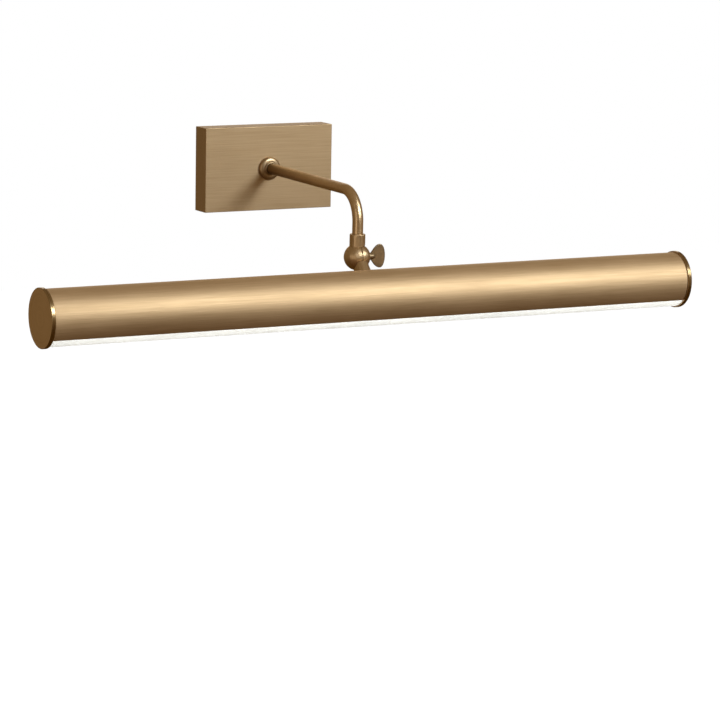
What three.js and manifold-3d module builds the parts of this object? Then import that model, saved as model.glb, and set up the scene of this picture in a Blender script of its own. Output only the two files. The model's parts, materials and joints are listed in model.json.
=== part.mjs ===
// Wall-mounted picture light: a rectangular canopy, a bent arm, a clamped knuckle and a
// tubular lamp head with an opal strip along its underside.
// Millimetres. +Z is up, +Y points into the wall, X runs along the lamp head. The origin is
// the centre of the mounting plate's back face, in the plane of the wall.
import * as THREE from "three";
import { mergeVertices } from "three/addons/utils/BufferGeometryUtils.js";
import Module from "manifold-3d";

const wasm = await Module();
wasm.setup();

// ---- driving dimensions ----

const GAP = 0.3; // left between pieces that touch
const INCH = 25.4;

// canopy, a five-sided box with its open side on the wall
const CANOPY_WIDTH = 5 * INCH;
const CANOPY_HEIGHT = 3 * INCH;
const CANOPY_DEPTH = 21.2;
const CANOPY_WALL = 1.6;
const SET_SCREW_X = 40.8;
const SET_SCREW_Y = -17.2;
const SET_SCREW_RADIUS = 1.5;
const SET_SCREW_LENGTH = 6;
const SET_SCREW_SUNK = 0.4;
const SET_SCREW_SOCKET = { radius: 0.9, depth: 1.6 };

// mounting plate, screwed to the junction box
const PLATE_THICKNESS = 1.5;
const PLATE_SIDE_ROOM = 2; // between the plate's ends and the canopy's sides
const PLATE_TOP_ROOM = 0.7;
const PLATE_WIDTH = CANOPY_WIDTH - 2 * (CANOPY_WALL + PLATE_SIDE_ROOM);
const PLATE_HEIGHT = CANOPY_HEIGHT - 2 * (CANOPY_WALL + PLATE_TOP_ROOM);
const PLATE_FLANGE_DEPTH = CANOPY_DEPTH - CANOPY_WALL - GAP;
const BOX_SCREW_SPACING = 3.5 * INCH;
const BOX_SLOT_LENGTH = 11;
const BOX_SLOT_WIDTH = 5.2;
const WIRE_WINDOW = { halfWidth: 29, low: -31, high: -13 };
const GROUND_SCREW = { x: 42, z: -20, radius: 1.9, headRadius: 4, headHeight: 2.2 };

// driver, taped to the mounting plate above the arm
const TAPE_THICKNESS = 1;
const DRIVER = { left: -30, right: 46, low: 10, high: 31, depth: 13.5 };
const DRIVER_CORNER = 2;
const TERMINAL = { length: 9, inset: 2, entryRadius: 1.6, entryShift: 3.6, entryDepth: 6 };

// arm, a tube that leaves the canopy level and turns straight down
const ARM_RADIUS = 0.375 * INCH / 2;
const ARM_BORE = 3.3;
const ARM_INNER_END_Y = -10.5;
const ARM_DROOP = THREE.MathUtils.degToRad(0.7); // of the whole arm, about the canopy's front
const ARM_BEND_RADIUS = 26;
const ARM_BEND_STEPS = 14;
const FLANGE = { radius: 10.4, rim: 1.3, neckRadius: 6.6, length: 3.6 };
const COLLAR = { radius: 6.1, length: 1.3 };
const ARM_WASHER = { radius: 8, thickness: 1 };
const ARM_LOCKNUT = { acrossFlats: 14, thickness: 4.5 };
const BUSH = { rim: 1.2, reach: 5 };

// knuckle, two equal halves of a ball, each with a neck
const KNUCKLE_Y = -195.8;
const KNUCKLE_Z = -56.2;
const BALL_RADIUS = 11.6;
const NECK_RADIUS = 6.85;
const NECK_REACH = 20.1;
const NECK_SOCKET_DEPTH = 7.5;
const NECK_BORE = 2.6;
const PIVOT_BOSS_RADIUS = 4.1;
const LEAD_POCKET_RADIUS = 8.4;
const LEAD_POCKET_DEPTH = 4.2;
const PIVOT_FACET_X = 10.4;
const NECK_CHAMFER = 0.5;
const NECK_RELIEF = { x: 4.4, z: 9.7 }; // where the neck's sloped foot starts

// thumbscrew along the knuckle's axis
const SHANK_RADIUS = 2.35;
const SHANK_END_X = -7.6;
const SHANK_HOLE_END_X = -8.4; // blind, in the upper half
const CLAMP_WASHER_RADIUS = 4;
const CLAMP_WASHER_THICKNESS = 0.8;
const THUMB_NECK_RADIUS = 2.8;
const SPADE = {
  startX: 12.5, rootX: 14, rootHalf: 2.4,
  wideX: 22.4, halfHeight: 10.3,
  endX: 27, thickness: 2.2,
};

// lamp head, a tube hung from the lower neck
const HEAD_TILT = Math.PI / 4; // of the lower neck, forward of straight down
const HEAD_LENGTH = 618.2;
const TUBE_RADIUS = 24.2;
const TUBE_WALL = 1.2;
const MOUTH_HALF_ANGLE = THREE.MathUtils.degToRad(46.5);
const STEM_LENGTH = NECK_REACH + TUBE_RADIUS; // ball centre to tube axis
const CAP_RADIUS = INCH;
const CAP_THICKNESS = 3.66;
const CAP_SPIGOT_LENGTH = 9;
const CAP_SPIGOT_WALL = 1.6;
const CAP_EDGE = 0.5;
const CARRIER_BOSS = { near: 2, far: 12, halfWidth: 6, height: 7 };
const CARRIER_SCREW = { radius: 1.5, headRadius: 2.8, headHeight: 2, reach: 5.5 };
const DIFFUSER_WALL = 1.5;
const DIFFUSER_LEDGE_ANGLE = THREE.MathUtils.degToRad(54);
const CARRIER = { bottom: 3, thickness: 1.6, halfWidth: 19.6, lip: 2.4 };
const BOARD = { halfLength: 286, halfWidth: 6, thickness: 1.6 };
const LED = { size: 3.5, height: 0.8, pitch: 16, count: 35 };
const STEM_NUT = { acrossFlats: 12, thickness: 4 };
const STEM_NIPPLE_RADIUS = 4;
const STEM_SOCKET_DEPTH = 7;
const SADDLE = { radius: 7, thickness: 2.1 };
const CONNECTOR = { right: -32, length: 12, halfWidth: 4.5, height: 5, middleY: 8 };
const LEAD_RADIUS = 1.1;

// ---- finishes ----

const brass = { color: "#a98a61", roughness: 0.38, metalness: 1 };
const zincSteel = { color: "#b9bcc0", roughness: 0.4, metalness: 1 };
const aluminium = { color: "#c9cbcd", roughness: 0.45, metalness: 1 };
const opal = { color: "#f2eee4", roughness: 0.4, metalness: 0 };
const boardWhite = { color: "#eef0ee", roughness: 0.5, metalness: 0 };
const paleMoulding = { color: "#e6e4df", roughness: 0.55, metalness: 0 };
const darkMoulding = { color: "#26282b", roughness: 0.5, metalness: 0 };
const foam = { color: "#35373a", roughness: 0.9, metalness: 0 };
const leadSleeve = { color: "#e9e7e0", roughness: 0.6, metalness: 0 };
const groundSleeve = { color: "#2f7d46", roughness: 0.6, metalness: 0 };

// ---- shape helpers ----

function toSolid(geometry) {
  const bare = geometry.clone();
  bare.deleteAttribute("normal");
  bare.deleteAttribute("uv");
  const merged = mergeVertices(bare, 1e-4);
  return new wasm.Manifold(new wasm.Mesh({
    numProp: 3,
    vertProperties: merged.attributes.position.array,
    triVerts: new Uint32Array(merged.index.array),
  }));
}

function toGeometry(solid) {
  const mesh = solid.getMesh();
  const geometry = new THREE.BufferGeometry();
  geometry.setAttribute("position", new THREE.BufferAttribute(mesh.vertProperties, 3));
  geometry.setIndex(new THREE.BufferAttribute(mesh.triVerts, 1));
  return geometry;
}

function join(...geometries) {
  return toGeometry(geometries.map(toSolid).reduce((all, next) => all.add(next)));
}

function cut(geometry, ...tools) {
  const whole = toSolid(geometry);
  return toGeometry(tools.map(toSolid).reduce((left, tool) => left.subtract(tool), whole));
}

function common(a, b) {
  return toGeometry(toSolid(a).intersect(toSolid(b)));
}

function box(x0, x1, y0, y1, z0, z1) {
  const geometry = new THREE.BoxGeometry(x1 - x0, y1 - y0, z1 - z0);
  return geometry.translate((x0 + x1) / 2, (y0 + y1) / 2, (z0 + z1) / 2);
}

// a solid of revolution about Y, from (radius, y) pairs that start and end on the axis
function turned(profile, segments) {
  const points = profile.map(([radius, y]) => new THREE.Vector2(radius, y));
  return new THREE.LatheGeometry(points, segments);
}

function rodY(radius, y0, y1, segments = 32) {
  const rod = new THREE.CylinderGeometry(radius, radius, y1 - y0, segments);
  return rod.translate(0, (y0 + y1) / 2, 0);
}

function rodX(radius, x0, x1, segments = 32) {
  return rodY(radius, x0, x1, segments).rotateZ(-Math.PI / 2);
}

function rodZ(radius, z0, z1, segments = 32) {
  return rodY(radius, z0, z1, segments).rotateX(Math.PI / 2);
}

function ringY(inner, outer, y0, y1, segments = 32) {
  return cut(rodY(outer, y0, y1, segments), rodY(inner, y0 - 1, y1 + 1, segments));
}

function hexNut(acrossFlats, bore, y0, y1) {
  const acrossCorners = acrossFlats / Math.cos(Math.PI / 6);
  return cut(rodY(acrossCorners / 2, y0, y1, 6), rodY(bore, y0 - 1, y1 + 1, 24));
}

// a section drawn in (Y, Z), drawn out along X from x0 to x1
function drawnAlongX(section, x0, x1) {
  const geometry = new THREE.ExtrudeGeometry(section, { depth: x1 - x0, bevelEnabled: false });
  const turn = new THREE.Matrix4().makeBasis(
    new THREE.Vector3(0, 1, 0),
    new THREE.Vector3(0, 0, 1),
    new THREE.Vector3(1, 0, 0),
  );
  return geometry.applyMatrix4(turn).translate(x0, 0, 0);
}

function roundSection(radius, sides) {
  const corners = Array.from({ length: sides }, (_, i) => {
    const angle = 2 * Math.PI * i / sides;
    return new THREE.Vector2(radius * Math.cos(angle), radius * Math.sin(angle));
  });
  return new THREE.Shape(corners);
}

// a lead of round section along a smooth route through the given points
function lead(points, steps) {
  const route = new THREE.CatmullRomCurve3(points.map(([x, y, z]) => new THREE.Vector3(x, y, z)));
  const section = roundSection(LEAD_RADIUS, 8);
  return new THREE.ExtrudeGeometry(section, { steps, extrudePath: route });
}

// points on a circle about the lamp head's axis, by angle from straight down towards +Y
function arcFromDown(radius, from, to, steps) {
  return Array.from({ length: steps + 1 }, (_, i) => {
    const angle = from + (to - from) * i / steps;
    return new THREE.Vector2(radius * Math.sin(angle), -radius * Math.cos(angle));
  });
}

// ---- canopy and mounting plate ----

const canopyFrontY = -CANOPY_DEPTH;
const canopyInsideY = canopyFrontY + CANOPY_WALL;
const canopyTopZ = CANOPY_HEIGHT / 2;
const plateTopZ = PLATE_HEIGHT / 2;

function setScrewHoles() {
  const reach = canopyTopZ + 1;
  return [-SET_SCREW_X, SET_SCREW_X].map((x) =>
    rodZ(SET_SCREW_RADIUS + GAP, -reach, reach, 20).translate(x, SET_SCREW_Y, 0));
}

function canopyCover() {
  const half = CANOPY_WIDTH / 2;
  const shell = box(-half, half, canopyFrontY, 0, -canopyTopZ, canopyTopZ);
  const inside = box(
    -half + CANOPY_WALL, half - CANOPY_WALL,
    canopyInsideY, 1,
    -canopyTopZ + CANOPY_WALL, canopyTopZ - CANOPY_WALL,
  );
  const armHole = rodY(ARM_RADIUS + GAP, canopyFrontY - 1, canopyInsideY + 1);
  return cut(shell, inside, armHole, ...setScrewHoles());
}

function boxScrewSlot(x) {
  const y0 = -PLATE_THICKNESS - 1;
  const straight = (BOX_SLOT_LENGTH - BOX_SLOT_WIDTH) / 2;
  const radius = BOX_SLOT_WIDTH / 2;
  const ends = [-straight, straight].map((shift) =>
    rodY(radius, y0, 1, 16).translate(x + shift, 0, 0));
  return join(...ends, box(x - straight, x + straight, y0, 1, -radius, radius));
}

function mountingPlate() {
  const half = PLATE_WIDTH / 2;
  const channel = cut(
    box(-half, half, -PLATE_FLANGE_DEPTH, 0, -plateTopZ, plateTopZ),
    box(
      -half - 1, half + 1,
      -PLATE_FLANGE_DEPTH - 1, -PLATE_THICKNESS,
      -plateTopZ + PLATE_THICKNESS, plateTopZ - PLATE_THICKNESS,
    ),
  );
  const window = box(
    -WIRE_WINDOW.halfWidth, WIRE_WINDOW.halfWidth,
    -PLATE_THICKNESS - 1, 1,
    WIRE_WINDOW.low, WIRE_WINDOW.high,
  );
  const slots = [-1, 1].map((side) => boxScrewSlot(side * BOX_SCREW_SPACING / 2));
  const groundTap = rodY(GROUND_SCREW.radius + GAP, -PLATE_THICKNESS - 1, 1, 20)
    .translate(GROUND_SCREW.x, 0, GROUND_SCREW.z);
  // the flanges slide over the set screws, so their holes are open to the front
  const notches = [-SET_SCREW_X, SET_SCREW_X].map((x) => box(
    x - SET_SCREW_RADIUS - GAP, x + SET_SCREW_RADIUS + GAP,
    -CANOPY_DEPTH, SET_SCREW_Y,
    -canopyTopZ, canopyTopZ,
  ));
  return cut(channel, window, ...slots, groundTap, ...setScrewHoles(), ...notches);
}

// a headless screw with a hexagon socket in its outer end, outer end at +Z
function setScrew() {
  const chamfer = 0.4;
  const body = turned([
    [0, 0],
    [SET_SCREW_RADIUS, 0],
    [SET_SCREW_RADIUS, SET_SCREW_LENGTH - chamfer],
    [SET_SCREW_RADIUS - chamfer, SET_SCREW_LENGTH],
    [0, SET_SCREW_LENGTH],
  ], 24);
  const socketEnd = SET_SCREW_LENGTH - SET_SCREW_SOCKET.depth;
  const socket = rodY(SET_SCREW_SOCKET.radius, socketEnd, SET_SCREW_LENGTH + 1, 6);
  return cut(body, socket).rotateX(Math.PI / 2).translate(0, 0, -SET_SCREW_LENGTH);
}

function groundScrew() {
  const seat = -PLATE_THICKNESS - GAP;
  const crown = seat - GROUND_SCREW.headHeight;
  const screw = join(
    rodY(GROUND_SCREW.headRadius, crown, seat, 24),
    rodY(GROUND_SCREW.radius, seat - 0.5, -0.2, 24),
  );
  const slotDepth = 0.9;
  return cut(screw, box(-5, 5, crown - 1, crown + slotDepth, -0.5, 0.5));
}

// ---- driver ----

const driverBackY = -PLATE_THICKNESS - TAPE_THICKNESS - 2 * GAP;
const driverFrontY = driverBackY - DRIVER.depth;
const driverMiddleY = (driverFrontY + driverBackY) / 2;
const driverMiddleZ = (DRIVER.low + DRIVER.high) / 2;

function driverTape() {
  const inset = 3;
  return box(
    DRIVER.left + inset, DRIVER.right - inset,
    driverBackY + GAP, -PLATE_THICKNESS - GAP,
    DRIVER.low + inset, DRIVER.high - inset,
  );
}

function driverCase() {
  const front = driverFrontY + DRIVER_CORNER;
  const back = driverBackY - DRIVER_CORNER;
  const low = DRIVER.low + DRIVER_CORNER;
  const high = DRIVER.high - DRIVER_CORNER;
  const quarter = Math.PI / 2;
  const section = new THREE.Shape();
  section.moveTo(front, DRIVER.low);
  section.absarc(back, low, DRIVER_CORNER, -quarter, 0);
  section.absarc(back, high, DRIVER_CORNER, 0, quarter);
  section.absarc(front, high, DRIVER_CORNER, quarter, 2 * quarter);
  section.absarc(front, low, DRIVER_CORNER, 2 * quarter, 3 * quarter);
  return drawnAlongX(new THREE.Shape(section.getPoints(4)), DRIVER.left, DRIVER.right);
}

// a block of two push-in connectors for the house wires, on the driver's right end
function supplyTerminal() {
  const { length, inset, entryRadius, entryShift, entryDepth } = TERMINAL;
  const x0 = DRIVER.right + GAP;
  const x1 = x0 + length;
  const block = box(
    x0, x1,
    driverFrontY + inset, driverBackY - inset,
    DRIVER.low + inset + 1, DRIVER.high - inset - 1,
  );
  const entries = [-entryShift, entryShift].map((shift) =>
    rodX(entryRadius, x1 - entryDepth, x1 + 1, 16).translate(0, driverMiddleY, driverMiddleZ + shift));
  return cut(block, ...entries);
}

// ---- arm ----

// a point on the centre line of the arm's bend, by how far the arm has turned downwards
function bendPoint(turn) {
  return [
    0,
    KNUCKLE_Y + ARM_BEND_RADIUS * (1 - Math.sin(turn)),
    ARM_BEND_RADIUS * (Math.cos(turn) - 1),
  ];
}

// The arm's centre line. Its stations are the ends of the two straights and even steps
// round the bend.
class ArmRoute extends THREE.Curve {
  constructor(startY, endZ) {
    super();
    const arc = Array.from({ length: ARM_BEND_STEPS + 1 }, (_, i) => {
      const turn = Math.PI / 2 * i / ARM_BEND_STEPS;
      const heading = new THREE.Vector3(0, -Math.cos(turn), -Math.sin(turn));
      return { place: new THREE.Vector3(...bendPoint(turn)), heading };
    });
    this.stations = [
      { place: new THREE.Vector3(0, startY, 0), heading: new THREE.Vector3(0, -1, 0) },
      ...arc,
      { place: new THREE.Vector3(0, KNUCKLE_Y, endZ), heading: new THREE.Vector3(0, 0, -1) },
    ];
    this.steps = this.stations.length - 1;
  }

  getPoint(t) {
    return this.stations[Math.round(t * this.steps)].place.clone();
  }

  getPointAt(u) {
    return this.getPoint(u);
  }

  getTangentAt(u) {
    return this.stations[Math.round(u * this.steps)].heading.clone();
  }
}

const armEndZ = KNUCKLE_Z + NECK_REACH - NECK_SOCKET_DEPTH + GAP;

function alongArm(section, startY, endZ) {
  const route = new ArmRoute(startY, endZ);
  return new THREE.ExtrudeGeometry(section, { steps: route.steps, extrudePath: route });
}

function armTube() {
  return cut(
    alongArm(roundSection(ARM_RADIUS, 24), ARM_INNER_END_Y, armEndZ),
    alongArm(roundSection(ARM_BORE, 16), ARM_INNER_END_Y + 1, armEndZ - 1),
  );
}

// the rosette where the arm meets the canopy: a short straight rim, then a dome up to the collar
function armFlange() {
  const back = canopyFrontY - GAP;
  const domeRise = FLANGE.length - FLANGE.rim;
  const dome = Array.from({ length: 7 }, (_, i) => {
    const turn = Math.PI / 2 * i / 6;
    return [
      FLANGE.neckRadius + (FLANGE.radius - FLANGE.neckRadius) * Math.cos(turn),
      back - FLANGE.rim - domeRise * Math.sin(turn),
    ];
  });
  const front = back - FLANGE.length;
  const profile = [[0, front], ...dome.toReversed(), [FLANGE.radius, back], [0, back]];
  return cut(turned(profile, 40), rodY(ARM_RADIUS + GAP, front - 1, back + 1));
}

function armCollar() {
  const back = canopyFrontY - FLANGE.length - 2 * GAP;
  const front = back - COLLAR.length;
  const edge = 0.35;
  const bead = turned([
    [0, front],
    [COLLAR.radius - edge, front],
    [COLLAR.radius, front + edge],
    [COLLAR.radius, back],
    [0, back],
  ], 40);
  return cut(bead, rodY(ARM_RADIUS + GAP, front - 1, back + 1));
}

const armWasherY = canopyInsideY + GAP;
const armLocknutY = armWasherY + ARM_WASHER.thickness + GAP;

function armWasher() {
  const back = armWasherY + ARM_WASHER.thickness;
  return ringY(ARM_RADIUS + GAP, ARM_WASHER.radius, armWasherY, back, 24);
}

function armLocknut() {
  const back = armLocknutY + ARM_LOCKNUT.thickness;
  return hexNut(ARM_LOCKNUT.acrossFlats, ARM_RADIUS + GAP, armLocknutY, back);
}

// the moulded bush that keeps the lead off the arm's cut end
function leadBush() {
  const rim = ARM_INNER_END_Y + GAP;
  const body = join(
    rodY(ARM_RADIUS, rim, rim + BUSH.rim, 24),
    rodY(ARM_BORE - GAP, rim - BUSH.reach, rim + 0.5, 24),
  );
  return cut(body, rodY(LEAD_RADIUS + GAP, rim - BUSH.reach - 1, rim + BUSH.rim + 1, 16));
}

// ---- knuckle ----

// Half of the ball, at X below 0, with its whole neck pointing up. Both halves of the
// knuckle are this casting, the lower one turned over. It is faced off beyond facetX, and
// the clamp screw's hole ends at holeEndX.
function knuckleCasting(facetX, holeEndX) {
  const ball = new THREE.SphereGeometry(BALL_RADIUS, 40, 24).rotateX(Math.PI / 2);
  const half = cut(
    ball,
    box(-GAP / 2, 20, -20, 20, -20, 20),
    box(-20, facetX, -20, 20, -20, 20),
  );
  const neckBlank = turned([
    [0, 0],
    [NECK_RADIUS, 0],
    [NECK_RADIUS, NECK_REACH - NECK_CHAMFER],
    [NECK_RADIUS - NECK_CHAMFER, NECK_REACH],
    [0, NECK_REACH],
  ], 40).rotateX(Math.PI / 2);
  const otherBall = new THREE.SphereGeometry(BALL_RADIUS + GAP, 40, 24).rotateX(Math.PI / 2);
  const otherHalfRoom = cut(otherBall, box(-20, -GAP / 2, -20, 20, -20, 20));
  const relief = box(0, 14, -10, 10, -6, 0)
    .rotateY(-Math.PI / 4)
    .translate(NECK_RELIEF.x, 0, NECK_RELIEF.z);
  const underNeck = box(-GAP / 2, 20, -20, 20, -20, BALL_RADIUS / 2);
  const neck = cut(neckBlank, otherHalfRoom, underNeck, relief);
  const leadPocket = cut(
    rodX(LEAD_POCKET_RADIUS, -LEAD_POCKET_DEPTH, 1),
    rodX(PIVOT_BOSS_RADIUS, -LEAD_POCKET_DEPTH - 1, 2),
  );
  return cut(
    join(half, neck),
    leadPocket,
    rodZ(NECK_BORE, PIVOT_BOSS_RADIUS + 1, NECK_REACH + 1, 24),
    rodX(SHANK_RADIUS + GAP, holeEndX, 20, 24),
  );
}

function neckSocket(radius, depth) {
  return rodZ(radius, NECK_REACH - depth, NECK_REACH + 1, 24);
}

function knuckleUpper() {
  const socket = neckSocket(ARM_RADIUS + GAP, NECK_SOCKET_DEPTH);
  return cut(knuckleCasting(-BALL_RADIUS - 1, SHANK_HOLE_END_X), socket);
}

// the lower casting's neck ends in a saddle that fits the lamp tube
function knuckleLower() {
  const socket = neckSocket(STEM_NIPPLE_RADIUS + GAP, STEM_SOCKET_DEPTH);
  const lampTube = rodX(TUBE_RADIUS + GAP, -20, 20, 96).translate(0, 0, STEM_LENGTH);
  return cut(knuckleCasting(-PIVOT_FACET_X, -20), socket, lampTube);
}

// ---- thumbscrew ----

const clampWasherX = PIVOT_FACET_X + GAP;
const thumbShoulderX = clampWasherX + CLAMP_WASHER_THICKNESS + GAP;

function clampWasher() {
  const outer = clampWasherX + CLAMP_WASHER_THICKNESS;
  return ringY(SHANK_RADIUS + GAP, CLAMP_WASHER_RADIUS, clampWasherX, outer)
    .rotateZ(-Math.PI / 2);
}

// the thumbscrew's flat wing, narrow at the neck and rounded at its wide end
function spadeOutline() {
  const { startX, rootX, rootHalf, wideX, halfHeight, endX } = SPADE;
  const shoulder = halfHeight - 1.4;
  const crown = halfHeight - 0.4;
  const outline = new THREE.Shape();
  outline.moveTo(startX, -rootHalf);
  outline.bezierCurveTo(rootX + 1, -rootHalf, rootX + 1.5, -shoulder, wideX, -halfHeight);
  outline.bezierCurveTo(wideX + 3.2, -crown, endX, -halfHeight / 2, endX, 0);
  outline.bezierCurveTo(endX, halfHeight / 2, wideX + 3.2, crown, wideX, halfHeight);
  outline.bezierCurveTo(rootX + 1.5, shoulder, rootX + 1, rootHalf, startX, rootHalf);
  return new THREE.Shape(outline.getPoints(9));
}

function thumbscrew() {
  const spade = new THREE.ExtrudeGeometry(spadeOutline(), {
    depth: SPADE.thickness,
    bevelEnabled: false,
  }).rotateX(Math.PI / 2).translate(0, SPADE.thickness / 2, 0);
  const neck = rodX(THUMB_NECK_RADIUS, thumbShoulderX, SPADE.rootX + 1.5, 24);
  const shank = rodX(SHANK_RADIUS, SHANK_END_X, thumbShoulderX + 1, 24);
  return join(spade, neck, shank);
}

// ---- lamp head, about the lamp tube's axis ----

const headHalf = HEAD_LENGTH / 2;
const discInsideX = headHalf - CAP_THICKNESS;
const tubeHalf = discInsideX - GAP;
const tubeInside = TUBE_RADIUS - TUBE_WALL;

function headTube() {
  const section = new THREE.Shape([
    ...arcFromDown(TUBE_RADIUS, MOUTH_HALF_ANGLE, 2 * Math.PI - MOUTH_HALF_ANGLE, 66),
    ...arcFromDown(tubeInside, 2 * Math.PI - MOUTH_HALF_ANGLE, MOUTH_HALF_ANGLE, 66),
  ]);
  const stemHole = rodZ(STEM_NIPPLE_RADIUS + GAP, tubeInside - 2, TUBE_RADIUS + 2, 24)
    .rotateX(-HEAD_TILT);
  return cut(drawnAlongX(section, -tubeHalf, tubeHalf), stemHole);
}

// the opal strip fills the mouth flush with the tube, and two ledges catch behind its lips
function diffuser() {
  const mouth = MOUTH_HALF_ANGLE - GAP / TUBE_RADIUS;
  const ledgeOuter = tubeInside - GAP;
  const ledgeInner = ledgeOuter - DIFFUSER_WALL;
  const section = new THREE.Shape([
    ...arcFromDown(TUBE_RADIUS, -mouth, mouth, 24),
    ...arcFromDown(ledgeOuter, mouth, DIFFUSER_LEDGE_ANGLE, 3),
    ...arcFromDown(ledgeInner, DIFFUSER_LEDGE_ANGLE, -DIFFUSER_LEDGE_ANGLE, 28),
    ...arcFromDown(ledgeOuter, -DIFFUSER_LEDGE_ANGLE, -mouth, 3),
  ]);
  return drawnAlongX(section, -tubeHalf, tubeHalf);
}

const carrierTop = CARRIER.bottom + CARRIER.thickness;
const carrierHalf = discInsideX - GAP;
const carrierScrewX = carrierHalf - (CARRIER_BOSS.near + CARRIER_BOSS.far) / 2;

// the aluminium channel that carries the light strip and ties the end caps together
function ledCarrier() {
  const { bottom, thickness, halfWidth, lip } = CARRIER;
  const top = carrierTop;
  const inner = halfWidth - thickness;
  const section = new THREE.Shape([
    [-halfWidth, bottom], [halfWidth, bottom],
    [halfWidth, top + lip], [inner, top + lip],
    [inner, top], [-inner, top],
    [-inner, top + lip], [-halfWidth, top + lip],
  ].map(([y, z]) => new THREE.Vector2(y, z)));
  const holes = [-carrierScrewX, carrierScrewX].map((x) =>
    rodZ(CARRIER_SCREW.radius + GAP, bottom - 1, top + 1, 16).translate(x, 0, 0));
  return cut(drawnAlongX(section, -carrierHalf, carrierHalf), ...holes);
}

// the board with its row of light-emitting diodes facing down
function ledStrip() {
  const top = CARRIER.bottom - GAP;
  const face = top - BOARD.thickness;
  const { halfLength, halfWidth } = BOARD;
  const board = box(-halfLength, halfLength, -halfWidth, halfWidth, face, top);
  const half = LED.size / 2;
  const diodes = Array.from({ length: LED.count }, (_, i) => {
    const x = (i - (LED.count - 1) / 2) * LED.pitch;
    return box(x - half, x + half, -half, half, face - LED.height, face + 0.5);
  });
  return join(board, ...diodes);
}

// One end cap, closing the tube at +X: a disc, a spigot inside the brass part of the tube
// and a boss that the carrier is screwed to.
function endCap() {
  const disc = turned([
    [0, discInsideX],
    [CAP_RADIUS - CAP_EDGE, discInsideX],
    [CAP_RADIUS, discInsideX + CAP_EDGE],
    [CAP_RADIUS, headHalf - CAP_EDGE],
    [CAP_RADIUS - CAP_EDGE, headHalf],
    [0, headHalf],
  ], 72).rotateZ(-Math.PI / 2);
  const spigotOuter = tubeInside - GAP;
  const spigotInner = spigotOuter - CAP_SPIGOT_WALL;
  const clearance = DIFFUSER_LEDGE_ANGLE + 0.05;
  const spigot = drawnAlongX(new THREE.Shape([
    ...arcFromDown(spigotOuter, clearance, 2 * Math.PI - clearance, 36),
    ...arcFromDown(spigotInner, 2 * Math.PI - clearance, clearance, 36),
  ]), discInsideX - CAP_SPIGOT_LENGTH, discInsideX + 1);
  const bossBottom = carrierTop + GAP;
  const screwEnd = carrierTop + CARRIER_SCREW.reach;
  const boss = cut(
    box(
      carrierHalf - CARRIER_BOSS.far, discInsideX + 1,
      -CARRIER_BOSS.halfWidth, CARRIER_BOSS.halfWidth,
      bossBottom, bossBottom + CARRIER_BOSS.height,
    ),
    rodZ(CARRIER_SCREW.radius + GAP, bossBottom - 1, screwEnd + 2 * GAP, 16)
      .translate(carrierScrewX, 0, 0),
  );
  return join(disc, spigot, boss);
}

// a pan-head screw from below, through the carrier into the boss
function carrierScrew() {
  const seat = CARRIER.bottom - GAP;
  const crown = seat - CARRIER_SCREW.headHeight;
  const screw = join(
    rodZ(CARRIER_SCREW.headRadius, crown, seat, 20),
    rodZ(CARRIER_SCREW.radius, seat - 0.5, carrierTop + CARRIER_SCREW.reach, 16),
  );
  return cut(screw, box(-0.4, 0.4, -4, 4, crown - 1, crown + 0.9));
}

// ---- stem: +Z runs along the lower neck, from the ball towards the lamp tube ----

const tubeInsideZ = NECK_REACH + TUBE_WALL;
const saddleFlatZ = tubeInsideZ + GAP + SADDLE.thickness;
const nutZ = saddleFlatZ + GAP;
const nippleEndZ = nutZ + STEM_NUT.thickness + 1;

// round washer, flat towards the nut and curved towards the tube's inner wall
function saddleWasher() {
  const blank = rodZ(SADDLE.radius, tubeInsideZ, saddleFlatZ, 32);
  const tubeRoom = rodX(tubeInside - GAP, -20, 20, 96).translate(0, 0, STEM_LENGTH);
  const hole = rodZ(STEM_NIPPLE_RADIUS + GAP, tubeInsideZ - 1, saddleFlatZ + 1, 24);
  return cut(common(blank, tubeRoom), hole);
}

function stemNut() {
  return hexNut(STEM_NUT.acrossFlats, STEM_NIPPLE_RADIUS + GAP, 0, STEM_NUT.thickness)
    .rotateX(Math.PI / 2).translate(0, 0, nutZ);
}

function stemNipple() {
  const start = NECK_REACH - STEM_SOCKET_DEPTH + GAP;
  return cut(
    rodZ(STEM_NIPPLE_RADIUS, start, nippleEndZ, 24),
    rodZ(NECK_BORE, start - 1, nippleEndZ + 1, 16),
  );
}

// ---- leads ----

// a place given along the stem, seen from the lamp head's own frame
function fromStem(x, y, z) {
  return new THREE.Vector3(-x, y, STEM_LENGTH - z)
    .applyAxisAngle(new THREE.Vector3(1, 0, 0), -HEAD_TILT)
    .toArray();
}

// the two castings share this route round the pivot boss and up the neck
const pocketRoute = [
  [-2.2, -3.4, -5.2],
  [-2.2, -6.1, 0],
  [-2.1, -4.3, 4.2],
  [-1.6, -1.5, 6.6],
  [-1.25, -0.1, 9],
  [-1.2, 0, 10.6],
];

function armLead() {
  const driverEnd = DRIVER.left - GAP;
  const inCanopy = [
    [driverEnd, driverMiddleY, driverMiddleZ],
    [driverEnd - 6, driverMiddleY, driverMiddleZ - 0.5],
    [driverEnd - 9.5, driverMiddleY + 1, driverMiddleZ - 7],
    [driverEnd - 5, driverMiddleY + 3, 5],
    [-20, -5.4, 1.8],
    [-9, -4.6, 0.6],
    [-2.6, -5.4, 0.1],
    [0, -8.6, 0],
  ];
  const bendPoints = [0, 30, 60, 90].map(THREE.MathUtils.degToRad).map(bendPoint);
  const inArm = [[0, -14, 0], [0, -50, 0], [0, -90, 0], [0, -130, 0], ...bendPoints];
  const inKnuckle = [[0, 0, 20], [-0.2, 0, 14], ...pocketRoute.toReversed()]
    .map(([x, y, z]) => [x, y + KNUCKLE_Y, z + KNUCKLE_Z]);
  return lead([...inCanopy, ...inArm, ...inKnuckle], 90);
}

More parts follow.
